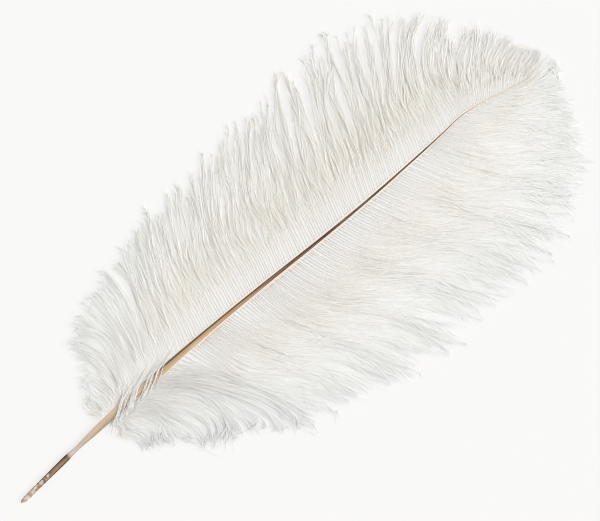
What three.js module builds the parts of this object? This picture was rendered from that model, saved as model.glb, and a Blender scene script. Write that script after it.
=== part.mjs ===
// An ostrich plume lying flat: a hollow quill that runs on as a tapering rachis, and the soft
// vane of loose barbs on each side of it. Millimetres, +Z up. +X runs from the quill's end to
// the plume's tip and +Y across the left vane. The origin is the bottom centre of the box.
import * as THREE from "three";

const SHAFT_SIDES = 12;
const SHAFT_STEPS = 72;
const VANE_STEPS = 44;
const VANE_ROWS = 7;
const CLEARANCE = 0.4; // between the shaft and the roots of the barbs

// The shaft, from the quill's end: [along, across, height of its middle, radius].
const SHAFT_STATIONS = [
  [0, 0, 1.6, 1.15],
  [6, 0.4, 1.9, 1.75],
  [32, 2.8, 2.4, 1.85],
  [44, 3.8, 2.7, 1.5],
  [66, 5.4, 3.4, 2.2],
  [84, 6.5, 4.0, 2.75],
  [130, 8.2, 5.2, 2.55],
  [165, 9.0, 5.7, 1.95],
  [210, 9.1, 6.0, 1.45],
  [255, 8.5, 6.0, 1.0],
  [290, 8.4, 5.7, 0.8],
  [330, 9.5, 5.2, 0.55],
  [365, 11.2, 4.6, 0.4],
  [380, 12.2, 4.3, 0.36],
  [396, 10.6, 3.9, 0.33],
  [413, 7.2, 3.4, 0.3],
  [430, 3.2, 2.8, 0.28],
];

// Each vane as ribs that follow its barbs: [place of the root along the shaft, tip along, tip across].
const LEFT_RIBS = [
  [80, 67, 17],
  [88, 82, 36],
  [96, 92, 56],
  [106, 106, 74],
  [122, 126, 88],
  [150, 156, 90],
  [178, 186, 96],
  [204, 222, 101],
  [236, 262, 101],
  [272, 302, 105],
  [304, 334, 105],
  [338, 372, 93],
  [364, 402, 75],
  [390, 422, 50],
  [410, 438, 28],
  [428, 449, 9],
];
const RIGHT_RIBS = [
  [84, 74, -3],
  [92, 88, -24],
  [104, 108, -46],
  [122, 138, -65],
  [146, 174, -80],
  [178, 214, -90],
  [214, 262, -100],
  [248, 312, -97],
  [286, 358, -94],
  [324, 398, -78],
  [360, 426, -58],
  [390, 441, -32],
  [428, 450, 3],
];

// Depth of the fluff, over the flat underside that the plume rests on.
const ROOT_DEPTH = 7.6;
const EDGE_DEPTH = 2.4;
const END_FADE = 0.12; // share of the vane's length over which its depth falls off at either end

const shaftLine = new THREE.CatmullRomCurve3(
  SHAFT_STATIONS.map(([x, y, z]) => new THREE.Vector3(x, y, z)),
);
const shaftRadius = new THREE.CatmullRomCurve3(
  SHAFT_STATIONS.map(([x, , , radius]) => new THREE.Vector3(x, radius, 0)),
);

// The curve parameter at which the shaft has come a given way along X.
function stationAt(x) {
  let low = 0;
  let high = 1;
  for (let i = 0; i < 30; i++) {
    const middle = (low + high) / 2;
    if (shaftLine.getPoint(middle).x < x) low = middle;
    else high = middle;
  }
  return low;
}

// The shaft: a closed cylinder whose rings are carried onto the curve, each at its own radius.
function shaftGeometry() {
  const geometry = new THREE.CylinderGeometry(1, 1, 1, SHAFT_SIDES, SHAFT_STEPS);
  const position = geometry.getAttribute("position");
  const side = new THREE.Vector3();
  const rise = new THREE.Vector3();
  const up = new THREE.Vector3(0, 0, 1);
  for (let i = 0; i < position.count; i++) {
    const t = THREE.MathUtils.clamp(position.getY(i) + 0.5, 0, 1);
    const centre = shaftLine.getPoint(t);
    const forward = shaftLine.getTangent(t);
    const radius = shaftRadius.getPoint(t).y;
    side.crossVectors(up, forward).normalize();
    rise.crossVectors(forward, side);
    centre.addScaledVector(rise, radius * position.getX(i));
    centre.addScaledVector(side, radius * position.getZ(i));
    position.setXYZ(i, centre.x, centre.y, centre.z);
  }
  return geometry;
}

// One vane: a flat-bottomed box bent to the ribs, deepest along the shaft and thin at the edge.
function vaneGeometry(ribs, sideSign) {
  const roots = new THREE.CatmullRomCurve3(ribs.map(([x], i) => new THREE.Vector3(x, i, 0)));
  const tips = new THREE.CatmullRomCurve3(ribs.map(([, x, y]) => new THREE.Vector3(x, y, 0)));
  const geometry = new THREE.BoxGeometry(1, 1, 1, VANE_STEPS, VANE_ROWS, 1);
  const position = geometry.getAttribute("position");
  for (let i = 0; i < position.count; i++) {
    const along = position.getX(i) + 0.5;
    const out = position.getY(i) * sideSign + 0.5;
    const isTop = position.getZ(i) > 0;
    const t = stationAt(roots.getPoint(along).x);
    const root = shaftLine.getPoint(t);
    root.y += sideSign * (shaftRadius.getPoint(t).y + CLEARANCE);
    const tip = tips.getPoint(along);
    const fade = THREE.MathUtils.smoothstep(Math.min(along, 1 - along), 0, END_FADE);
    const depth = EDGE_DEPTH + (ROOT_DEPTH - EDGE_DEPTH) * fade * (1 - out) ** 1.4;
    position.setXYZ(
      i,
      THREE.MathUtils.lerp(root.x, tip.x, out),
      THREE.MathUtils.lerp(root.y, tip.y, out),
      isTop ? depth : 0,
    );
  }
  return geometry;
}

const keratin = new THREE.MeshStandardMaterial({ color: 0xc8ab88, roughness: 0.4, metalness: 0 });
const leftBarbs = new THREE.MeshStandardMaterial({ color: 0xeeebe6, roughness: 0.95, metalness: 0 });
const rightBarbs = leftBarbs.clone();

const shaft = new THREE.Mesh(shaftGeometry(), keratin);
shaft.name = "shaft";
const leftVane = new THREE.Mesh(vaneGeometry(LEFT_RIBS, 1), leftBarbs);
leftVane.name = "vane_left";
const rightVane = new THREE.Mesh(vaneGeometry(RIGHT_RIBS, -1), rightBarbs);
rightVane.name = "vane_right";

const plume = new THREE.Group();
plume.add(shaft, leftVane, rightVane);
const middle = new THREE.Box3().setFromObject(plume).getCenter(new THREE.Vector3());
plume.position.set(-middle.x, -middle.y, 0);

const feather = new THREE.Group();
feather.add(plume);
export default feather;
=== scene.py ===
import bmesh
import bpy
import math
import numpy as np
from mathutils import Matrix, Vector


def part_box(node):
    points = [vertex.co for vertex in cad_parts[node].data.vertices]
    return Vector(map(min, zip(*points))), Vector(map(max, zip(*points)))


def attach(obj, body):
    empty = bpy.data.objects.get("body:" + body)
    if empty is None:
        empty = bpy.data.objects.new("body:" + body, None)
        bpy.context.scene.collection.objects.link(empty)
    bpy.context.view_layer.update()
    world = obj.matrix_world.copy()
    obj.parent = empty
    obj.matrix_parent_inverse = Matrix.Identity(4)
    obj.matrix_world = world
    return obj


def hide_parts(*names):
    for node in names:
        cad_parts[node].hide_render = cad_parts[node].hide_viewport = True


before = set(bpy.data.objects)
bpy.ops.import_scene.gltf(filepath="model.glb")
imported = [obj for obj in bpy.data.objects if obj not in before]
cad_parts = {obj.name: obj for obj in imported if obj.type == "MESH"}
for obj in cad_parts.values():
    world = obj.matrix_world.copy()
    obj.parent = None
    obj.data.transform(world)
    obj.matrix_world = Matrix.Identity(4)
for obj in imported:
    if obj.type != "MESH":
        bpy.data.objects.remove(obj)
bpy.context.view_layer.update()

# ---------------------------------------------------------------- shaft
# The shaft is one grown rod of keratin: a hollow see-through quill at the bare end, which runs on
# as a tapering rachis down the middle of the vane. It lies a few millimetres above the surface,
# held up by the barbs that grow from its two sides.

# Lengths are in millimetres until `placed` puts them in the frame.
MM = 0.001
QUILL_SIDE = 1.4 * MM  # from the middle of the quill's end to the shaft's lowest side
quill_end = np.array([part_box("shaft")[0][0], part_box("shaft")[0][1] + QUILL_SIDE, 0.0])


def placed(points_mm):
    """Points in millimetres, counted from the quill's end, as places in the frame."""
    return np.asarray(points_mm) * MM + quill_end


def smooth_through(rows, at):
    """The values at the places `at`, on a smooth curve through rows of [place, value, ...]."""
    rows = np.array(rows, float)
    place, values = rows[:, 0], rows[:, 1:]
    slope = np.gradient(values, place, axis=0)
    at = np.clip(np.asarray(at, float), place[0], place[-1])
    i = np.clip(np.searchsorted(place, at, side="right") - 1, 0, len(place) - 2)
    width = (place[i + 1] - place[i])[..., None]
    t = (at - place[i])[..., None] / width
    start, end = values[i], values[i + 1]
    pull_start, pull_end = slope[i] * width, slope[i + 1] * width
    bend = 2 * (start - end) + pull_start + pull_end
    return ((bend * t - pull_start - bend + end - start) * t + pull_start) * t + start


# [along, across, height of the middle, radius]
SHAFT_STATIONS = [
    [0, 0, 1.6, 0.3],
    [0.6, 0.03, 1.62, 0.95],
    [2, 0.1, 1.7, 1.4],
    [6, 0.4, 1.9, 1.75],
    [18, 1.6, 2.2, 1.8],
    [32, 2.8, 2.4, 1.95],
    [43.5, 3.8, 2.7, 1.9],
    [46, 4.0, 2.8, 1.7],
    [66, 5.4, 3.4, 2.3],
    [84, 6.5, 4.0, 2.75],
    [130, 8.2, 5.2, 2.55],
    [165, 9.0, 5.7, 1.95],
    [210, 9.1, 6.0, 1.45],
    [255, 8.5, 6.0, 1.1],
    [290, 8.4, 5.7, 0.92],
    [330, 9.5, 5.2, 0.64],
    [365, 11.2, 4.6, 0.44],
    [380, 12.2, 4.3, 0.36],
    [396, 10.6, 3.9, 0.33],
    [413, 7.2, 3.4, 0.3],
    [430, 3.2, 2.8, 0.2],
]
SHAFT_LENGTH = SHAFT_STATIONS[-1][0]
SHAFT_SIDES = 24
SHAFT_RINGS = 260
END_CROWDING = 1.3  # sets the rings closer together towards the rounded end of the quill
END_STRIP = 0.02  # share of the chart kept for the two ends


def shaft_at(along):
    """Across, height and radius of the shaft at places along it."""
    return smooth_through(SHAFT_STATIONS, along)


def tint(red, green, blue):
    """A colour as it looks, 0 to 255, as the linear values that a shader takes."""
    shown = np.array([red, green, blue]) / 255
    linear = np.where(shown <= 0.04045, shown / 12.92, ((shown + 0.055) / 1.055) ** 2.4)
    return (*linear, 1.0)


shaft_mesh = bpy.data.meshes.new("shaft_keratin")
bm = bmesh.new()
bmesh.ops.create_cone(bm, cap_ends=True, segments=SHAFT_SIDES, radius1=1, radius2=1, depth=1)
sides = [e for e in bm.edges if abs(e.verts[0].co.z - e.verts[1].co.z) > 0.5]
bmesh.ops.subdivide_edges(bm, edges=sides, cuts=SHAFT_RINGS, use_grid_fill=True)
bmesh.ops.recalc_face_normals(bm, faces=bm.faces)


def shaft_place(along):
    """Where a distance along the shaft comes in its chart, which begins with the ends' strip."""
    return END_STRIP + (1 - END_STRIP) * along / SHAFT_LENGTH


# The chart runs along the shaft and round it, and both round ends lie in the strip.
around = bm.loops.layers.uv.new("OFBake")
for face in bm.faces:
    turns = [math.atan2(c.vert.co.y, c.vert.co.x) / math.tau % 1 for c in face.loops]
    for corner, turn in zip(face.loops, turns):
        if len(face.verts) > 4:
            end = 0.7 if corner.vert.co.z < 0 else 0.3
            corner[around].uv = (0.008 + 0.006 * corner.vert.co.x, end + 0.1 * corner.vert.co.y)
        else:
            turn += turn < max(turns) - 0.5
            share = (corner.vert.co.z + 0.5) ** END_CROWDING
            corner[around].uv = (shaft_place(share * SHAFT_LENGTH), turn)
for vert in bm.verts:
    along = SHAFT_LENGTH * min(max(vert.co.z + 0.5, 0), 1) ** END_CROWDING
    across, height, radius = shaft_at(along)
    vert.co = placed([along, across + radius * vert.co.x, height + radius * vert.co.y])
bm.to_mesh(shaft_mesh)
bm.free()
shaft_mesh.shade_smooth()
shaft = bpy.data.objects.new("shaft_keratin", shaft_mesh)
bpy.context.scene.collection.objects.link(shaft)

keratin = bpy.data.materials.new("keratin")
keratin.use_nodes = True
nodes, links = keratin.node_tree.nodes, keratin.node_tree.links
skin = nodes["Principled BSDF"]
skin.inputs["Roughness"].default_value = 0.45
skin.inputs["Specular IOR Level"].default_value = 0.3
chart = nodes.new("ShaderNodeUVMap")
chart.uv_map = "OFBake"
split = nodes.new("ShaderNodeSeparateXYZ")
links.new(chart.outputs[0], split.inputs[0])
along_value, turn_value = split.outputs["X"], split.outputs["Y"]


def maths(operation, *values, clamp=False):
    """A maths node on values, each a socket or a number."""
    node = nodes.new("ShaderNodeMath")
    node.operation = operation
    node.use_clamp = clamp
    for socket, value in zip(node.inputs, values):
        if isinstance(value, (int, float)):
            socket.default_value = value
        else:
            links.new(value, socket)
    return node.outputs[0]


def product(*masks, clamp=False):
    """All the masks multiplied, each a socket or a number."""
    result = masks[0]
    for mask in masks[1:]:
        result = maths("MULTIPLY", result, mask, clamp=clamp)
    return result


def rising(value, low, high):
    """0 where the value is below low, 1 above high."""
    node = nodes.new("ShaderNodeMapRange")
    node.inputs["From Min"].default_value = low
    node.inputs["From Max"].default_value = high
    links.new(value, node.inputs["Value"])
    return node.outputs[0]


def falling(value, low, high):
    """1 where the value is below low, 0 above high."""
    return rising(value, high, low)


def band(value, start, full, fade, end):
    """1 where the value is between full and fade, 0 below start and above end."""
    return product(rising(value, start, full), falling(value, fade, end))


def stretch(*edges):
    """1 on a stretch of the shaft, the four edges of the band in millimetres along it."""
    return band(along_value, *map(shaft_place, edges))


def ramp(value, stops):
    """The colour at this value on a ramp with stops of (place, colour)."""
    node = nodes.new("ShaderNodeValToRGB")
    elements = node.color_ramp.elements
    while len(elements) < len(stops):
        elements.new(0.5)
    for element, (place, colour) in zip(elements, stops):
        element.position = place
        element.color = colour
    links.new(value, node.inputs[0])
    return node.outputs[0]


# Sockets of a mix node where it blends colours.
SHARE, UNDER, OVER, BLENDED = 0, 6, 7, 2


def stained(colour, mask, stain, way="MIX"):
    """The colour with a stain, a socket or a colour, over it where the mask is 1."""
    mix = nodes.new("ShaderNodeMix")
    mix.data_type = "RGBA"
    mix.blend_type = way
    links.new(mask, mix.inputs[SHARE])
    links.new(colour, mix.inputs[UNDER])
    if isinstance(stain, tuple):
        mix.inputs[OVER].default_value = stain
    else:
        links.new(stain, mix.inputs[OVER])
    return mix.outputs[BLENDED]


def grain(length, around_scale, detail, seed):
    """Noise in the chart, drawn out along the shaft, about 0 to 1."""
    spread = nodes.new("ShaderNodeCombineXYZ")
    links.new(maths("MULTIPLY", along_value, SHAFT_LENGTH / length), spread.inputs[0])
    links.new(maths("MULTIPLY", turn_value, around_scale), spread.inputs[1])
    spread.inputs[2].default_value = seed
    noise = nodes.new("ShaderNodeTexNoise")
    noise.inputs["Scale"].default_value = 1
    noise.inputs["Detail"].default_value = detail
    links.new(spread.outputs[0], noise.inputs["Vector"])
    return noise.outputs[0]


# Along: a worn cream quill end, a brown stained stretch, a clear stretch, then tan keratin that
# darkens to near black and fades out towards the tip.
colour = ramp(along_value, [
    (0.0, tint(214, 207, 190)),
    (shaft_place(6), tint(216, 206, 188)),
    (shaft_place(26), tint(204, 188, 166)),
    (shaft_place(28.6), tint(120, 98, 74)),
    (shaft_place(30.5), tint(140, 102, 62)),
    (shaft_place(37), tint(142, 106, 66)),
    (shaft_place(42), tint(96, 72, 46)),
    (shaft_place(43.2), tint(34, 24, 16)),
    (shaft_place(44.2), tint(190, 172, 162)),
    (shaft_place(46), tint(214, 202, 196)),
    (shaft_place(58), tint(206, 190, 172)),
    (shaft_place(72), tint(202, 182, 156)),
    (shaft_place(94), tint(194, 172, 142)),
    (shaft_place(130), tint(190, 164, 130)),
    (shaft_place(180), tint(172, 142, 108)),
    (shaft_place(220), tint(106, 80, 58)),
    (shaft_place(255), tint(50, 34, 24)),
    (shaft_place(300), tint(20, 14, 11)),
    (shaft_place(334), tint(20, 16, 14)),
    (shaft_place(348), tint(38, 32, 27)),
    (shaft_place(366), tint(104, 94, 82)),
    (shaft_place(384), tint(174, 165, 152)),
    (shaft_place(404), tint(216, 209, 199)),
])

# +1 on the left side of the shaft, 0 on top, -1 on its right side.
facing = maths("COSINE", maths("MULTIPLY", turn_value, math.tau))
side_on = maths("ABSOLUTE", facing)

# Fine lines along the keratin, some darker and some paler.
lines = grain(26, 26, 3, 1)
striped = product(rising(lines, 0.48, 0.62), 0.45)
colour = stained(colour, striped, tint(150, 112, 78))
pale_lines = grain(34, 20, 2, 5)
colour = stained(colour, product(rising(pale_lines, 0.52, 0.66), 0.4), tint(236, 214, 184))

# The mottled quill end: brown, pink and chalky patches and a few dark spots.
quill = falling(along_value, shaft_place(27), shaft_place(30))
patches = rising(grain(2.6, 3.6, 4, 9), 0.44, 0.54)
soiled = product(quill, rising(along_value, -0.02, shaft_place(26)))
colour = stained(colour, product(patches, soiled, 1.1, clamp=True), tint(122, 94, 68))
blush = rising(grain(4.2, 2.4, 2, 17), 0.53, 0.62)
colour = stained(colour, product(blush, quill, 0.3), tint(206, 180, 158))
chalk = rising(grain(2.0, 3.4, 3, 23), 0.58, 0.66)
colour = stained(colour, product(chalk, quill, 0.8), tint(240, 236, 226))
spots = rising(grain(1.7, 2.2, 1, 31), 0.64, 0.68)
colour = stained(colour, product(spots, quill, rising(side_on, 0.2, 0.5)), tint(62, 46, 34))

# The brown stretch: a lighter streak along the middle, dark along both edges.
brown = stretch(28.5, 29.3, 43, 43.8)
streak = band(facing, -0.4, -0.15, 0.1, 0.35)
colour = stained(colour, product(streak, brown, 0.4), tint(180, 138, 98))
colour = stained(colour, product(rising(side_on, 0.5, 0.74), brown), tint(40, 28, 18))

# Dark edges beside the soiled quill end, which grow towards the brown stretch.
soiled_end = stretch(5, 22, 29, 30)
quill_edge = rising(side_on, 0.5, 0.8)
broken = rising(grain(7, 3, 3, 41), 0.36, 0.5)
colour = stained(colour, product(quill_edge, soiled_end, broken, 0.85), tint(70, 54, 40))

# The tan stretch is paler along its left side and has a thin brown line along its right edge.
tan = stretch(44, 50, 104, 126)
colour = stained(colour, product(rising(facing, 0.1, 0.9), tan, 0.85), tint(246, 226, 204))
tan_edge = stretch(62, 80, 98, 122)
right_edge = falling(facing, -0.94, -0.72)
colour = stained(colour, product(right_edge, tan_edge, 0.75), tint(112, 84, 60))

# Within the vanes: a dark line of painted shade left of the middle, golden right of it, peach rims
# on both sides.
vaned = stretch(112, 134, 262, 300)
shaded_side = band(facing, 0.2, 0.42, 0.7, 0.86)
colour = stained(colour, product(shaded_side, vaned, 0.9), tint(98, 76, 54))
rims = rising(side_on, 0.84, 0.95)
colour = stained(colour, product(rims, vaned, 0.85), tint(246, 220, 198))

# Further up only the middle of the shaft is dark.
slender = stretch(240, 275, 335, 350)
margins = rising(side_on, 0.55, 0.82)
colour = stained(colour, product(margins, slender, 0.4), tint(238, 220, 202))

# The right side is a little darker than the left all the way to the vanes' dark stretch.
right_side = falling(facing, -0.6, 0.1)
toward_vanes = stretch(8, 30, 86, 110)
colour = stained(colour, product(right_side, toward_vanes, 0.45), tint(110, 84, 62))
lower = stretch(225, 250, 310, 350)
colour = stained(colour, product(right_side, lower, 0.5), tint(40, 28, 22))
links.new(colour, skin.inputs["Base Color"])

# The fine lines are slight grooves too.
relief = nodes.new("ShaderNodeBump")
relief.inputs["Strength"].default_value = 0.35
relief.inputs["Distance"].default_value = 0.0002
links.new(lines, relief.inputs["Height"])
links.new(relief.outputs[0], skin.inputs["Normal"])
shaft_mesh.materials.append(keratin)

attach(shaft, "root")
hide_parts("shaft")

# ---------------------------------------------------------------- left vane
# The left vane is some two hundred loose barbs that grow side by side from the shaft. Each barb is
# a thin tapering thread with a fringe of fine barbules down both sides. Nothing hooks the barbs
# together, so they bend forward, part into wisps and end in loose pointed tufts.

# Each row is a barb: its root along the shaft, then two places on its way and its tip, as along
# and across.
LEFT_BARBS = [
    [76, 75, 10, 73, 14, 70, 17],
    [86, 90, 16, 89, 27, 83, 39],
    [96, 102, 24, 104, 43, 93, 63],
    [108, 112, 30, 112, 50, 104, 74],
    [118, 124, 32, 129, 54, 130, 88],
    [134, 142, 34, 150, 58, 163, 92],
    [153, 160, 37, 168, 62, 189, 101],
    [176, 182, 36, 191, 60, 212, 101],
    [202, 208, 38, 217, 63, 246, 103],
    [228, 236, 37, 247, 62, 276, 102],
    [254, 261, 36, 271, 61, 296, 107],
    [280, 289, 37, 300, 64, 320, 114],
    [306, 317, 36, 328, 62, 350, 112],
    [328, 338, 36, 349, 61, 376, 104],
    [348, 355, 35, 364, 59, 396, 92],
    [364, 370, 33, 379, 54, 406, 79],
    [380, 385, 30, 391, 46, 412, 66],
    [392, 399, 25, 408, 36, 426, 51],
    [404, 412, 19, 421, 27, 435, 34],
    [416, 423, 13, 431, 17, 442, 21],
    [423, 429, 8.5, 436, 11.5, 447, 14.5],
    [429, 435, 5.2, 441, 6.6, 450, 8.6],
]
ROOT_ASIDE = 0.8  # of a barb's root from the middle of the shaft, as a share of its radius
ROOT_UP = 0.3  # the same, upwards
TIP_HEIGHT = 2.0  # of the barbs' tips above the surface
HUMP = 1.4  # how far the barbs arch up on their way
WIDE = 100  # across, beyond which the barbs hardly stray any further
STRAY = 11  # how far past that the longest of them come
LOWEST = {"barb": 0.9, "strand": 0.3, "barbule": 0.15}  # above the surface

# Stretches of the shaft over which the barbs change.
FOOT = (105, 165)  # the dull foot of the vane ends
CLEARER = (165, 320)  # the last of its dullness goes
DOWNY = (105, 175)  # short soft down gives way to long barbs
FANNED = (115, 175)  # the fan at the foot gives way to barbs that turn
WILD = (185, 255)  # settled barbs give way to wild ones
BARER = (200, 265)  # the edge gets barer
PARTED = (215, 265)  # the locks draw together more
SHADE_THINS = (240, 340)  # the painted shade on the flat barbules thins
FLATTER = (265, 350)  # the threads get flatter
CALM = (325, 385)  # wild barbs give way to straight ones
SHADE_FADES_AT_TIP = (330, 400)  # the painted shade on the flat barbules fades further
FLAT_TIP = (330, 415)  # the barbs' arch sinks


def eased(x, low, high):
    """0 below low, 1 above high and a smooth rise between."""
    t = np.clip((x - low) / (high - low), 0, 1)
    return t * t * (3 - 2 * t)


def barb_point(rows, side, root, t):
    """The place a share t of the way out along the barb that grows at `root` on the shaft."""
    way = smooth_through(rows, root)
    across, height, radius = np.moveaxis(shaft_at(root), -1, 0)
    start = np.stack([root, across + side * radius * ROOT_ASIDE], -1)
    third, far, tip = way[..., 0:2], way[..., 2:4], way[..., 4:6]
    t = np.asarray(t)[..., None]
    # A cubic curve that passes the two places at a third and two thirds of the way.
    plan = (
        -4.5 * (t - 1 / 3) * (t - 2 / 3) * (t - 1) * start
        + 13.5 * t * (t - 2 / 3) * (t - 1) * third
        - 13.5 * t * (t - 1 / 3) * (t - 1) * far
        + 4.5 * t * (t - 1 / 3) * (t - 2 / 3) * tip
    )
    t = t[..., 0]
    top = height + radius * ROOT_UP
    hump = HUMP * (1 - 0.85 * eased(root, *FLAT_TIP))
    z = top + (TIP_HEIGHT - top) * eased(t, 0, 1) + hump * 4 * t * (1 - t)
    return np.concatenate([plan, z[..., None]], -1)


def unit(vectors):
    """The vectors at length one."""
    return vectors / np.maximum(np.linalg.norm(vectors, axis=-1, keepdims=True), 1e-9)


UP = np.array([0.0, 0.0, 1.0])


def threads(paths, radii, ridge):
    """Closed three-sided tubes along paths [fibre, step, xyz], flattened to a low ridge."""
    count, steps = paths.shape[:2]
    ahead = unit(np.gradient(paths, axis=1))
    level = unit(np.cross(UP, ahead))
    rise = np.cross(ahead, level) * np.broadcast_to(ridge, radii.shape)[..., None]
    turn = np.radians([90, 210, 330])[:, None]
    ring = level[:, :, None] * np.cos(turn) + rise[:, :, None] * np.sin(turn)
    points = paths[:, :, None] + ring * radii[:, :, None, None]
    first = np.arange(count)[:, None, None] * steps * 3
    step = np.arange(steps - 1)[None, :, None] * 3
    a = first + step + np.arange(3)
    b = first + step + (np.arange(3) + 1) % 3
    walls = np.stack([np.stack([a, b, b + 3], -1), np.stack([a, b + 3, a + 3], -1)], -2)
    start = np.arange(count)[:, None] * steps * 3 + np.array([2, 1, 0])
    end = np.arange(count)[:, None] * steps * 3 + (steps - 1) * 3 + np.array([0, 1, 2])
    return points.reshape(-1, 3), np.concatenate([walls.reshape(-1, 3), start, end])


def spikes(feet, ways, widths):
    """Closed thin spikes, four triangles each, from feet along ways."""
    level = unit(np.cross(UP, ways)) * widths[:, None]
    rise = unit(np.cross(ways, level)) * widths[:, None]
    corners = [feet - level / 2, feet + level / 2, feet + rise * 0.7, feet + ways]
    faces = np.array([[0, 2, 1], [0, 1, 3], [1, 2, 3], [2, 0, 3]])
    triangles = np.arange(len(feet))[:, None, None] * 4 + faces
    return np.stack(corners, 1).reshape(-1, 3), triangles.reshape(-1, 3)


def joined_mesh(name, sets, chart_size):
    """One mesh object of fibre sets: points, triangles, unshaded share, out, foot and chart of
    each.
    """
    starts = np.cumsum([0] + [len(one[0]) for one in sets])
    triangles = np.concatenate([one[1] + start for one, start in zip(sets, starts)])
    points, tone, out, foot, chart = (
        np.concatenate([one[k] for one in sets]) for k in (0, 2, 3, 4, 5)
    )
    mesh = bpy.data.meshes.new(name)
    mesh.vertices.add(len(points))
    mesh.vertices.foreach_set("co", placed(points).astype(np.float32).ravel())
    mesh.loops.add(triangles.size)
    mesh.loops.foreach_set("vertex_index", triangles.astype(np.int32).ravel())
    mesh.polygons.add(len(triangles))
    mesh.polygons.foreach_set("loop_start", np.arange(0, triangles.size, 3, dtype=np.int32))
    mesh.update(calc_edges=True)
    mesh.shade_flat()
    for label, values in (("tone", tone), ("out", out), ("foot", foot)):
        layer = mesh.attributes.new(label, "FLOAT", "POINT")
        layer.data.foreach_set("value", values.astype(np.float32))
    layer = mesh.uv_layers.new(name="OFBake")
    layer.uv.foreach_set("vector", (chart[triangles] / chart_size).astype(np.float32).ravel())
    mesh.validate()
    thing = bpy.data.objects.new(name, mesh)
    bpy.context.scene.collection.objects.link(thing)
    return thing


MOST_BUNDLES = 500


def bundles(home, high, least, most, rng):
    """Neighbouring barbs that cling together: each one's bundle, its middle and its half width."""
    edges = np.cumsum(rng.uniform(least, most, MOST_BUNDLES))
    edges = np.concatenate([[0], edges[edges < high - least], [high]])
    which = np.clip(np.searchsorted(edges, home, side="right") - 1, 0, len(edges) - 2)
    return which, (edges[which] + edges[which + 1]) / 2, (edges[which + 1] - edges[which]) / 2


SPREAD_STEPS = 400


def spread_of(rows, side):
    """How far along the fanned-out vane, in millimetres, the barb of each root comes."""
    root = np.linspace(rows[0][0], rows[-1][0], SPREAD_STEPS)
    # Three parts as the barbs grow from the shaft, seven as they lie most of the way out.
    fanned = barb_point(rows, side, root, np.full(SPREAD_STEPS, 0.7))
    step = 0.3 * np.diff(root) + 0.7 * np.linalg.norm(np.diff(fanned, axis=0), axis=1)
    return root, np.concatenate([[0], np.cumsum(step)])


NARROW_WISP = 2  # along the vane
CHART_MARGIN = 3
CLOSE_BY = 0.01  # share of the way out
PAST_TIP = 1.06  # the same, as far as strands run on


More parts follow.
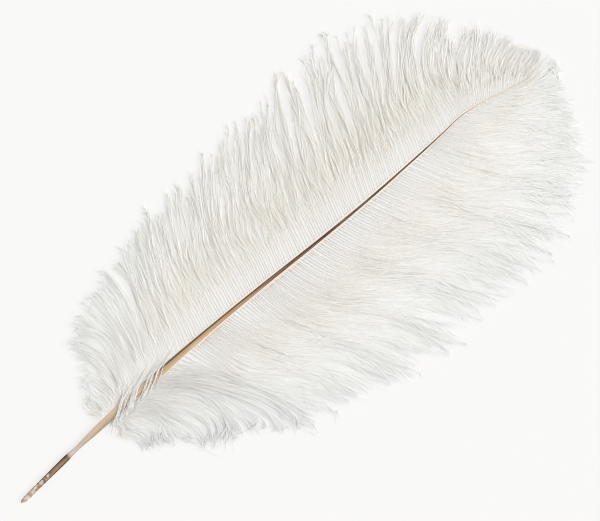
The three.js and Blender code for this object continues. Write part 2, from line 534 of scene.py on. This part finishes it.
class Barbs:
    """The barbs of one vane, each with its own bends, in wisps of a few and locks of many."""

    def __init__(self, rows, side, number, habit, rng):
        self.rows, self.side, self.habit, self.rng = rows, side, habit, rng
        self.known_root, self.known_spread = spread_of(rows, side)
        high = self.high = self.known_spread[-1]

        # Each barb's home is its place along the vane, a little closer together towards the tip.
        even = np.linspace(0, 1, number)
        home = high * (1 - (1 - even) ** 1.15) + rng.normal(0, 0.25, number)
        home = self.home = np.clip(home, 0, high)
        root = self.root = np.interp(home, self.known_spread, self.known_root)
        wisp, self.wisp_middle, _ = bundles(home, high, NARROW_WISP, habit["wide"], rng)
        lock, self.lock_middle, half = bundles(home, high, *habit["broad"], rng)

        def own(spread):
            return rng.normal(0, spread, number)

        def by_wisp(spread):
            return rng.normal(0, spread, number)[wisp]

        def by_lock(spread):
            return rng.normal(0, spread, number)[lock]

        # How settled the barbs lie: short downy ones at the foot of the vane, wild ones higher up
        # and calm straight ones at its tip.
        apart, loose = habit["apart"], habit["own"]
        self.foot = 1 - 0.8 * eased(root, *FOOT) - 0.2 * eased(root, *CLEARER)
        self.downy = 1 - eased(root, *DOWNY)
        wild = self.wild = habit["tame"] + (1 - habit["tame"]) * eased(root, *WILD)
        calm = 1 - 0.8 * eased(root, *CALM)
        self.free = habit["free"] * eased(root, *BARER) * calm

        # Bends, as millimetres along the vane.
        turned = 1 - habit["gather"] * (1 - eased(root, *FANNED))
        hook = by_lock(apart) + by_wisp(1.2 * (0.3 + 0.7 * apart)) + own(1.2 * loose)
        hook += np.where(rng.uniform(0, 1, number) < 0.12, own(5 * loose), 0)
        self.hook = (hook * habit["hook"] + habit["turn"]) * turned * calm * wild
        curl = by_wisp(habit["curl"]) + own(habit["curl"] * 1.3 * loose)
        self.curl = curl * calm * wild
        weave = by_wisp(habit["weave"]) + own(habit["weave"] * 0.5 * loose)
        self.weave = weave * calm * wild
        self.weave_phase = rng.uniform(0, 1, number)[wisp]
        self.wave = (1 - rng.uniform(0, 0.8 * apart, number)[lock]) * habit["wave"] * calm
        self.beat = 1.2 + rng.uniform(-0.3, 0.3, number)[lock] * apart
        self.phase = home / 31 + rng.uniform(-0.12, 0.12, number)[lock] * apart
        self.ripple = rng.uniform(0, 1, number)
        self.stray = own(0.6) * calm

        # How strongly the barbs are drawn together, and how their wisps splay at the tips.
        pull = rng.uniform(*habit["wisp"], number)[wisp]
        self.wisp_pull = pull * calm * (1 - 0.6 * self.downy)
        parted = 1 + habit["parted"] * eased(root, *PARTED)
        self.lock_pull = rng.uniform(*habit["lock"], number)[lock] * parted * calm
        self.splay = habit["splay"] * (wild * 1.5 - 0.5)

        # Height, length, thickness and colour, with how much painted shade the barbules carry.
        lift = by_lock(0.28 * apart) + by_wisp(0.33 * (0.3 + 0.7 * apart)) + own(0.35)
        self.lift = lift * habit["lift"] * calm
        ragged = habit["ragged"]
        self.reach = habit["reach"] - 0.03 * ((home - self.lock_middle) / half) ** 2
        self.reach -= rng.uniform(0, ragged, number)[lock] + rng.uniform(0, ragged, number)[wisp]
        self.reach -= rng.uniform(0, ragged * 2, number)
        self.stout = rng.uniform(0.75, 1.15, number)
        self.tone = rng.uniform(0.3, 0.7, number) + 0.3 * self.foot
        # Flat barbules carry less painted shade in the upper vane, towards the tip and on the
        # down.
        self.shade = habit["shade"] * (1 + 0.5 * eased(root, *SHADE_THINS))
        self.shade += 0.6 * eased(root, *SHADE_FADES_AT_TIP) + 0.8 * self.downy
        way = np.diff(self.at(np.arange(number)[:, None], np.linspace(0, 1, 9)[None]), axis=1)
        self.length = np.linalg.norm(way, axis=-1).sum(1)

    def drawn_to(self, i, t):
        """The root of the undisturbed barb on which barb i lies, a share t of the way out."""
        cling = 0.8 * eased(t, 0.12, 0.6) - self.splay[i] * eased(t, 0.84, 1)
        drawn = self.home[i] + (self.wisp_middle[i] - self.home[i]) * self.wisp_pull[i] * cling
        drawn += (self.lock_middle[i] - drawn) * self.lock_pull[i] * eased(t, 0.35, 1.0)
        turn = self.beat[i] * t + self.phase[i]
        drawn += self.wave[i] * np.sin(math.tau * turn) * eased(t, 0.1, 0.5)
        drawn += 0.35 * np.sin(math.tau * (2.6 * t + self.ripple[i])) * eased(t, 0.1, 0.4)
        crossing = np.sin(math.tau * (1.9 * t + self.weave_phase[i])) * eased(t, 0.58, 0.92)
        drawn += self.weave[i] * crossing + self.stray[i] * t
        drawn += self.hook[i] * eased(t, 0.65, 1.1)
        drawn += self.curl[i] * (np.maximum(t - 0.86, 0) / 0.14) ** 2
        return np.interp(drawn, self.known_spread, self.known_root)

    def at(self, i, t):
        """The place a share t of the way out along barb i."""
        t = t * self.reach[i]
        spot = barb_point(self.rows, self.side, self.drawn_to(i, t), t)
        roll = 0.4 * np.sin(math.tau * (1.7 * t + self.ripple[i] * 3))
        spot[..., 2] += (self.lift[i] + roll) * eased(t, 0.02, 0.35)
        wide = np.abs(spot[..., 1])
        over = np.maximum(wide - WIDE, 0)
        spot[..., 1] *= 1 - (over - STRAY * np.tanh(over / STRAY)) / np.maximum(wide, WIDE)
        spot[..., 2] = np.maximum(spot[..., 2], LOWEST["barb"])
        return spot

    def axes(self, i, t):
        """The way ahead along barb i, the level way to its left, and the way up from both."""
        beyond = np.minimum(t + CLOSE_BY, PAST_TIP)
        ahead = unit(self.at(i, beyond) - self.at(i, t - CLOSE_BY))
        level = unit(np.cross(UP, ahead))
        return ahead, level, np.cross(ahead, level)

    def chart(self, i, t, aside, beyond):
        """A place of its own for each corner of the fibres, in a chart of the vane."""
        across = np.repeat(self.home[i].ravel(), len(aside)) + np.tile(aside, i.size)
        out = np.repeat(t.ravel(), len(beyond)) * self.high + np.tile(beyond, i.size)
        return np.stack([across, out], -1) + CHART_MARGIN


BARB_STEPS = 22
BLUNT_TIP = 0.02  # radius


def threads_of(barbs, mine):
    """The middle thread of each barb, thick at its root and finer from halfway on."""
    habit = barbs.habit
    t = np.linspace(0, 1, BARB_STEPS + 1)[None].repeat(len(mine), 0)
    thick = habit["thread"] * (1 - 0.45 * eased(t, 0.05, 0.6)) * (1 - 0.6 * eased(t, 0.95, 1))
    thick = thick + BLUNT_TIP
    dull = habit["dull"] * barbs.foot[mine]
    share = np.clip(barbs.length[mine] / 40, 0.4, 1) * (1 - 0.4 * dull) * barbs.stout[mine]
    ridge = habit["ridge"] * (1.15 - 0.5 * eased(t, 0.3, 0.7))
    ridge = ridge * (1 - 0.45 * eased(barbs.root[mine], *FLATTER))[:, None]
    points, triangles = threads(barbs.at(mine[:, None], t), thick * share[:, None], ridge)
    # The middle threads carry no painted shade.
    tone = np.ones(len(points))
    i = np.broadcast_to(mine[:, None], t.shape)
    chart = barbs.chart(i, t, [0, 0.4, 0.8], [0, 0, 0])
    return points, triangles, tone, t.ravel().repeat(3), i.ravel().repeat(3), chart


STRAND_STEPS = 6
STRAND_RADIUS = 0.28
STRAND_LENGTH = (14, 34)
STRAND_TIP = 0.015  # radius
WHITE_STRANDS = 0.4  # share of the strands that don't take on the edge's painted shade


def strands_of(barbs, mine, number):
    """Threads of barbules clinging together, which leave a barb and run on beside it."""
    habit, rng = barbs.habit, barbs.rng
    count = np.maximum((barbs.length[mine] / barbs.length.sum() * number).round().astype(int), 1)
    i = np.repeat(mine, count)[:, None]
    first = 0.08 + 0.86 * rng.uniform(0, 1, i.shape) ** habit["outward"]
    edge = eased(first, 0.62, 0.88)
    s = np.linspace(0, 1, STRAND_STEPS + 1)[None].repeat(len(i), 0)
    long = rng.uniform(*STRAND_LENGTH, i.shape) * (1 - 0.6 * edge)
    t = first + long / np.maximum(barbs.length[i], 30) * s
    t = np.minimum(t, 1 + 0.08 * (1 - np.exp(-(t - 1) * 12)) * (t > 1))
    aside = rng.choice([-1.0, 1.0], i.shape) * np.abs(rng.normal(1.1, 0.6, i.shape))
    curled = rng.normal(0, habit["curl"], i.shape) * barbs.wild[i]
    aside = aside + edge * (habit["frill"] * rng.uniform(0.5, 6, i.shape) + curled)
    above = rng.normal(0.1, 0.4, i.shape)
    bend = (eased(s, 0, 0.8) + 0.35 * s**2) * (1 - edge) + edge * s**1.7
    _, level, rise = barbs.axes(i, t)
    spots = barbs.at(i, t) + level * (aside * bend)[..., None] + rise * (above * bend)[..., None]
    spots[..., 2] = np.maximum(spots[..., 2], LOWEST["strand"])
    radii = STRAND_RADIUS * eased(s, -0.3, 0.15) * (1 - s**3)
    radii = radii * rng.uniform(0.7, 1.3, i.shape) + STRAND_TIP
    radii = radii * (1 + habit["lace"] * edge)
    points, triangles = threads(spots, radii, habit["ridge"] * 0.85)
    # Painted shade: each strand carries a random unshaded share, more at the foot of the vane.
    tone = rng.uniform(*habit["pale"], i.shape) + 0.6 * barbs.foot[i]
    tone = np.minimum(tone, 1).repeat(STRAND_STEPS + 1, 1).ravel().repeat(3)
    white = rng.uniform(0, 1, i.shape) < WHITE_STRANDS
    out = np.where(white, np.minimum(t, 0.7), t).ravel().repeat(3)
    i = np.broadcast_to(i, t.shape)
    chart = barbs.chart(i, t + aside * bend * 0.3 / barbs.high, [0, 0.2, 0.4], [0, 0, 0])
    return points, triangles, tone, out, i.ravel().repeat(3), chart


FLAT_WIDTH = 0.27
FINE_WIDTH = 0.17


def barbules_of(barbs, mine, number):
    """The single barbules: flat ones that fill the vane and finer ones along the barbs."""
    habit, rng = barbs.habit, barbs.rng
    share = barbs.length[mine] / barbs.length.sum() * number
    share = share * (1 + 0.5 * habit["dull"] * barbs.foot[mine])
    count = np.maximum(share.round().astype(int), 1)
    i = np.repeat(mine, count)
    place = np.arange(len(i)) - np.repeat(np.cumsum(count) - count, count)
    place = place + rng.uniform(0, 1, len(i))
    t = np.clip(place / np.repeat(count, count), 0.0, 0.99) ** habit["inward"]
    ahead, level, rise = barbs.axes(i, t)
    inner, outer = 1 - eased(t, 0.05, 0.25), eased(t, 0.75, 0.98)
    flat = rng.uniform(0, 1, len(i)) < habit["fill"]
    angle = np.where(flat, rng.normal(30, 10, len(i)), rng.normal(12, 6, len(i)))
    flare = habit["flare"] + 25 * barbs.downy[i]
    angle = np.radians(angle * (1 + 0.9 * inner) + flare * outer)
    roll = np.where(flat, rng.normal(-45, 15, len(i)) + 25 * inner, rng.normal(-15, 30, len(i)))
    roll = np.radians(roll)
    hand = rng.choice([-1.0, 1.0], len(i))
    if habit["frill"]:
        hand = np.where(rng.uniform(0, 1, len(i)) < outer * 0.8, np.sign(habit["frill"]), hand)
    way = (
        ahead * np.cos(angle)[:, None]
        + level * (hand * np.cos(roll) * np.sin(angle))[:, None]
        + rise * (np.sin(roll) * np.sin(angle))[:, None]
    )
    thin_from, thin_to = habit["bare"]
    thinned = eased(t, thin_from - 0.3 * barbs.free[i], thin_to - 0.12 * barbs.free[i])
    long = 1.7 + 1.5 * barbs.downy[i] + 5.4 * eased(t, 0.0, 0.3)
    long *= 1 - (habit["taper"] + 0.32 * barbs.free[i]) * thinned
    long = (long + habit["tuft"] * eased(t, 0.9, 1)) * rng.uniform(0.6, 1.2, len(i))
    way = unit(way) * long[:, None]
    feet = barbs.at(i, t)
    way[:, 2] = np.maximum(way[:, 2], LOWEST["barbule"] - feet[:, 2])
    wide = np.where(flat, FLAT_WIDTH, FINE_WIDTH) * rng.uniform(0.85, 1.15, len(i))
    wide = wide * (1 + habit["thick"] * outer)
    points, triangles = spikes(feet, way, wide)
    # Painted shade: single barbules carry their barb's unshaded share; flat ones, which lie lower,
    # carry less, apart from near the barb's root.
    tone = np.where(flat, barbs.shade[i] + 0.6 * (1 - eased(t, 0.02, 0.15)), barbs.tone[i])
    chart = barbs.chart(i, t, [0, 0.5, 0.25, 0.25], [0, 0, 0.5, 4])
    return points, triangles, tone.repeat(4), t.repeat(4), i.repeat(4), chart


SECTIONS = 3  # meshes a vane is made of, one after another along the shaft
BARBS = 215  # in a vane
BARBULES = 68000  # in a vane
LEFT_STRANDS = 3400
DOWNY_OUT = 0.28  # the down is as white at its root as long barbs are this far out


def vane(name, rows, side, strands, habit, rng):
    """The mesh objects of one vane, on the left side of the shaft (1) or its right side (-1)."""
    barbs = Barbs(rows, side, BARBS, habit, rng)
    grown = np.cumsum(barbs.length) / barbs.length.sum() * SECTIONS
    pieces = []
    for part in range(SECTIONS):
        mine = np.flatnonzero((grown > part) & (grown <= part + 1 + 1e-6))
        sets = []
        for points, triangles, tone, out, i, chart in (
            threads_of(barbs, mine),
            strands_of(barbs, mine, strands),
            barbules_of(barbs, mine, BARBULES),
        ):
            downy = DOWNY_OUT * eased(barbs.foot[i], 0.2, 1)
            # How far the fibres run out into the painted grey of the edge.
            out = np.clip(np.maximum(out * habit["edge_shade"], downy), 0, 1)
            sets.append((points, triangles, tone, out, habit["dull"] * barbs.foot[i], chart))
        chart_size = barbs.high * 1.1 + 8  # with room for the barbules past the tips
        pieces.append(joined_mesh(f"{name}_{part + 1}", sets, chart_size))
    return pieces


# Barbs and barbules are the same dull white keratin and let some light through. Where they grow
# from the shaft they are a little brown. The barbules lying lower among the others carry painted
# shade: a creamier, darker colour for the shade in the gaps between the barbs.
LIGHT_THROUGH = 0.35
down = bpy.data.materials.new("barbs")
down.use_nodes = True
nodes, links = down.node_tree.nodes, down.node_tree.links
fibre = nodes["Principled BSDF"]
fibre.inputs["Roughness"].default_value = 0.7


def carried(label):
    """The value that the mesh carries under this name."""
    node = nodes.new("ShaderNodeAttribute")
    node.attribute_name = label
    return node.outputs["Fac"]


out_value = carried("out")
# The fibres' own colour, a little brown at the root. From 0.9 on it is painted shade: the thin
# loose edge is painted greyer.
body = ramp(out_value, [
    (0.0, (0.99, 0.93, 0.87, 1)),
    (0.009, (0.99, 0.93, 0.87, 1)),
    (0.015, (0.76, 0.72, 0.67, 1)),
    (0.026, (0.87, 0.86, 0.835, 1)),
    (0.12, (0.91, 0.90, 0.88, 1)),
    (0.3, (0.956, 0.952, 0.937, 1)),
    (0.45, (0.96, 0.957, 0.943, 1)),
    (0.75, (0.96, 0.96, 0.952, 1)),
    (0.9, (0.945, 0.948, 0.942, 1)),
    (1.0, (0.915, 0.919, 0.915, 1)),
])
# Painted shade: the creamier, darker colour given to the hidden lower fibres.
shaded_cream = ramp(out_value, [
    (0.0, (0.98, 0.92, 0.86, 1)),
    (0.012, (0.98, 0.92, 0.86, 1)),
    (0.02, (0.93, 0.905, 0.87, 1)),
    (0.4, (0.932, 0.907, 0.862, 1)),
    (1.0, (0.93, 0.93, 0.91, 1)),
])
# Each fibre shows its own colour over the painted shade by the unshaded share it carries.
white = stained(shaded_cream, carried("tone"), body)
white = stained(white, carried("foot"), (0.952, 0.954, 0.952, 1), "MULTIPLY")
links.new(white, fibre.inputs["Base Color"])
glow = nodes.new("ShaderNodeBsdfTranslucent")
links.new(white, glow.inputs["Color"])
both = nodes.new("ShaderNodeMixShader")
both.inputs[0].default_value = LIGHT_THROUGH
links.new(fibre.outputs[0], both.inputs[1])
links.new(glow.outputs[0], both.inputs[2])
links.new(both.outputs[0], nodes["Material Output"].inputs["Surface"])

LEFT_HABIT = {
    "wisp": (0.2, 0.9),  # least and most that a wisp of barbs draws together
    "lock": (0.0, 0.2),  # the same for a lock of several wisps
    "wide": 7,  # widest wisp, in millimetres along the vane
    "broad": (9, 26),  # narrowest and broadest lock
    "parted": 3.0,  # how much more the locks of the upper half draw together
    "splay": 0.25,  # how far the tips of a wisp part again
    "apart": 1.0,  # how differently the locks behave
    "own": 0.25,  # how differently the barbs of one wisp behave
    "hook": 2.0,  # bend of the outer third
    "turn": 0,  # the same bend for all barbs alike
    "gather": 0.0,  # how far the barbs at the foot are spared from it
    "wave": 1.3,  # long waves in the barbs
    "weave": 3.0,  # wisps crossing each other near the edge
    "curl": 4.6,  # bend of the very tips
    "tame": 0.25,  # share of these bends in the lower half of the vane
    "lift": 0.4,  # how unevenly high they lie
    "reach": 1.05,  # length of the barbs
    "ragged": 0.05,  # how unevenly they end
    "thread": 0.54,  # radius of a barb's thread
    "ridge": 0.29,  # how high the threads' backs are
    "outward": 0.75,  # below 1 for more strands near the edge
    "lace": 0.0,  # how much thicker the strands are there
    "pale": (0.1, 0.9),  # least and most unshaded strands, over the painted shade
    "frill": 0,  # side to which the edge turns
    "fill": 0.55,  # share of flat barbules
    "inward": 0.85,  # above 1 for more barbules near the shaft
    "bare": (0.9, 1.0),  # where the barbules get shorter
    "taper": 0.3,  # how much shorter
    "free": 0.3,  # how much barer the edge of the upper half is
    "flare": 12,  # degrees by which the outer barbules stand off
    "thick": 0.8,  # how much wider they are
    "tuft": 1.0,  # how much longer the last ones are
    "shade": 0.0,  # how little painted shade the flat barbules carry
    "edge_shade": 0.92,  # how far the tips take on the painted shade of the edge
    "dull": 0.2,  # how grey the foot of the vane is
}
rng = np.random.default_rng(7)
for piece in vane("barbs_left", LEFT_BARBS, 1, LEFT_STRANDS, LEFT_HABIT, rng):
    piece.data.materials.append(down)
    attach(piece, "root")
    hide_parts("vane_left")

# ---------------------------------------------------------------- right vane
# The right vane is made of the same loose barbs, but they are longer, lie flatter and closer and
# run further forward in long waves, like combed hair. Along the edge their tips turn down into a
# fine lace, and at the foot they sweep round in a soft downy fan.

# The rows and the habit say the same things as the left vane's.
RIGHT_BARBS = [
    [78, 79, -3, 80, -10, 82, -19],
    [88, 98, -7, 104, -21, 102, -34],
    [98, 112, -10, 122, -30, 121, -50],
    [110, 129, -9, 144, -33, 147, -64],
    [120, 138, -12, 156, -40, 171, -81],
    [133, 149, -16, 168, -43, 196, -89],
    [153, 162, -22, 178, -46, 216, -89],
    [176, 190, -21, 214, -51, 256, -103],
    [202, 212, -25, 236, -54, 280, -106],
    [228, 245, -27, 275, -52, 322, -105],
    [254, 273, -26, 304, -50, 352, -104],
    [280, 299, -24, 329, -49, 377, -100],
    [306, 325, -23, 352, -48, 400, -91],
    [328, 346, -20, 371, -43, 417, -78],
    [348, 363, -16, 385, -38, 428, -64],
    [368, 385, -6, 406, -23, 435, -48],
    [390, 404, -2, 419, -13, 441, -28],
    [404, 414, -2, 425, -8, 445, -16],
    [416, 424, 0, 434, -3, 448, -6],
    [429, 435, 4.2, 441, 5.4, 450, 7],
]
RIGHT_HABIT = {
    "wisp": (0.7, 1.0),
    "lock": (0.0, 0.1),
    "wide": 4.5,
    "broad": (7, 20),
    "parted": 0.0,
    "splay": 0.8,
    "apart": 0.15,
    "own": 1.0,
    "hook": 1.0,
    "turn": -8,
    "gather": 1.0,
    "wave": 2.0,
    "weave": 0.3,
    "curl": 2.8,
    "tame": 1.0,
    "lift": 1.0,
    "reach": 1.03,
    "ragged": 0.03,
    "thread": 0.52,
    "ridge": 0.5,
    "outward": 0.5,
    "lace": 0.5,
    "pale": (0.6, 0.95),
    "frill": -1,
    "fill": 0.4,
    "inward": 1.2,
    "bare": (0.88, 1.0),
    "taper": 0.4,
    "free": 0.0,
    "flare": 24,
    "thick": 0.2,
    "tuft": 1.2,
    "shade": 0.6,
    "edge_shade": 1.0,
    "dull": 0.95,
}
RIGHT_STRANDS = 4600
rng = np.random.default_rng(21)
for piece in vane("barbs_right", RIGHT_BARBS, -1, RIGHT_STRANDS, RIGHT_HABIT, rng):
    piece.data.materials.append(down)
    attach(piece, "root")
    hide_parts("vane_right")

# ---------------------------------------------------------------- down over the shaft
# At the foot of the vanes a few loose downy barbs have fallen across the shaft. They come up from
# the right vane's foot, lie slanting over the top of the shaft and run on into the left vane.

# [where the tuft crosses the middle of the shaft, number of strands, how far it spreads]
CROSSINGS = [
    [89.5, 9, 1.0],
    [95, 2, 0.5],
    [102.5, 24, 2.0],
    [111.5, 3, 1.4],
    [116.2, 5, 0.5],
    [122.5, 4, 0.7],
    [126.5, 2, 0.4],
]
CROSSING_STEPS = 24
CROSSING_BARBULES = 30  # on each strand
rng = np.random.default_rng(11)
crossing = [rng.normal(middle, spread, number) for middle, number, spread in CROSSINGS]
crossing = np.concatenate(crossing)[:, None]

# From above, each strand slants across the shaft and fans out at both ends.
s = np.linspace(-1, 1, CROSSING_STEPS + 1)[None].repeat(len(crossing), 0)
run_on = rng.uniform(0, 14, crossing.shape) * eased(s, 0.2, 1.2)
along = crossing + rng.uniform(12, 19, crossing.shape) * s + run_on
middle, height, radius = np.moveaxis(shaft_at(along), -1, 0)
sweep = rng.uniform(1.1, 1.7, crossing.shape) * np.tanh(2.2 * s)
fan = rng.uniform(0, 9, crossing.shape) * eased(s, 0.25, 1.1)
fan = fan - rng.uniform(0, 6, crossing.shape) * eased(-s, 0.35, 1.1)
across = middle + sweep * (radius + 0.6) + fan + 0.3 * np.sin(3 * s + crossing)

# From the side, it arches over the shaft and sinks in among the barbs beside it.
arch = np.sqrt(np.clip(1 - (sweep / 1.5) ** 2, 0, 1))
above = height - 0.6 + (radius + 1.0) * arch + rng.uniform(0, 0.5, crossing.shape)
spots = np.stack([along, across, above], -1)
radii = rng.uniform(0.16, 0.28, crossing.shape) * (1 - np.abs(s) ** 4) + 0.03
strand_points, strand_triangles = threads(spots, radii, 0.5)
strand_rows = np.repeat(np.arange(len(crossing)), s.shape[1] * 3) + np.tile([0, 0.2, 0.4], s.size)
strand_chart = np.stack([strand_rows, np.repeat(s.ravel(), 3) * 20 + 20], -1)

# Fine barbules stand off each strand, mostly pointing ahead.
i = np.repeat(np.arange(len(crossing)), CROSSING_BARBULES)
step = rng.integers(1, CROSSING_STEPS - 2, len(i))
feet = spots[i, step]
ahead = unit(spots[i, step + 1] - feet)
level = unit(np.cross(UP, ahead))
angle = np.radians(rng.normal(0, 20, len(i)))[:, None]
tilt = rng.normal(0, 0.2, len(i))[:, None]
way = ahead * np.cos(angle) + level * np.sin(angle) + UP * tilt
way = way * rng.uniform(2, 5, len(i))[:, None]
spike_points, spike_triangles = spikes(feet, way, rng.uniform(0.12, 0.2, len(i)))
spike_rows = np.repeat(i, 4) + 0.5 + np.tile([0, 0.2, 0.1, 0.1], len(i))
spike_places = np.repeat(step, 4) * 1.5 + np.tile([0, 0, 0.3, 2], len(i))
spike_chart = np.stack([spike_rows, spike_places], -1)
sets = []
for points, triangles, chart in (
    (strand_points, strand_triangles, strand_chart),
    (spike_points, spike_triangles, spike_chart),
):
    whole = np.ones(len(points))
    sets.append((points, triangles, whole, whole * 0.6, whole * 0.4, chart))
over = joined_mesh("barbs_over_shaft", sets, len(crossing) + 3)
over.data.materials.append(down)
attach(over, "root")
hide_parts("vane_left")

# ---------------------------------------------------------------- stage
# A plain sheet of pale paper, far wider than the feather that lies on it. It glows by itself, so
# that it stays even and bright right through the thin edges of the vanes.

HALF_FLOOR = 3  # metres
BELOW = 0.3 * MM  # the surface, so that no barb cuts into the sheet
floor_mesh = bpy.data.meshes.new("floor")
bm = bmesh.new()
bmesh.ops.create_grid(bm, x_segments=1, y_segments=1, size=HALF_FLOOR)
bmesh.ops.translate(bm, verts=bm.verts, vec=(0, 0, -BELOW))
bm.to_mesh(floor_mesh)
bm.free()
floor = bpy.data.objects.new("floor", floor_mesh)
bpy.context.scene.collection.objects.link(floor)
paper = bpy.data.materials.new("pale_paper")
paper.use_nodes = True
sheet = paper.node_tree.nodes["Principled BSDF"]
sheet.inputs["Base Color"].default_value = (0.15, 0.1495, 0.148, 1)
sheet.inputs["Emission Color"].default_value = (1, 0.995, 0.985, 1)
sheet.inputs["Emission Strength"].default_value = 0.762
sheet.inputs["Roughness"].default_value = 0.9
floor_mesh.materials.append(paper)

# ---------------------------------------------------------------- light
# A soft white sky all round, and one large soft lamp halfway up over the right vane's upper end,
# which shows the relief of the barbs.

sky = bpy.data.worlds.new("soft_light")
sky.use_nodes = True
sky.node_tree.nodes["Background"].inputs["Color"].default_value = (1, 1, 1, 1)
sky.node_tree.nodes["Background"].inputs["Strength"].default_value = 0.52
bpy.context.scene.world = sky
lamp = bpy.data.lights.new("softbox", "SUN")
lamp.angle = math.radians(40)  # how soft its shadows are
lamp.energy = 2.79
softbox = bpy.data.objects.new("softbox", lamp)
softbox.rotation_euler = (math.radians(44), 0, math.radians(50))
bpy.context.scene.collection.objects.link(softbox)

# ---------------------------------------------------------------- camera
# Straight above the feather, turned so that the quill points to the lower left of the image and
# the tip to its upper right.

VIEW_WIDTH = 390 * MM  # of the image, at half the height of the feather
VIEW_HEIGHT = 4 * MM
VIEW_CENTRE = (240.6, 6.3)  # along and across
VIEW_TURN = -39.5  # degrees
LENS = 85
SENSOR = 36
camera_data = bpy.data.cameras.new("camera")
camera_data.lens = LENS
camera_data.sensor_width = SENSOR
camera = bpy.data.objects.new("camera", camera_data)
centre = placed([*VIEW_CENTRE, 0])
camera.location = (centre[0], centre[1], VIEW_WIDTH * LENS / SENSOR + VIEW_HEIGHT)
camera.rotation_euler = (0, 0, math.radians(VIEW_TURN))
bpy.context.scene.collection.objects.link(camera)
bpy.context.scene.camera = camera
bpy.context.scene.view_settings.view_transform = "Standard"

# Light passes through many layers of barbs, and a narrow filter keeps them fine.
bpy.context.scene.cycles.diffuse_bounces = 14
bpy.context.scene.cycles.max_bounces = 20
bpy.context.scene.cycles.filter_width = 1.0
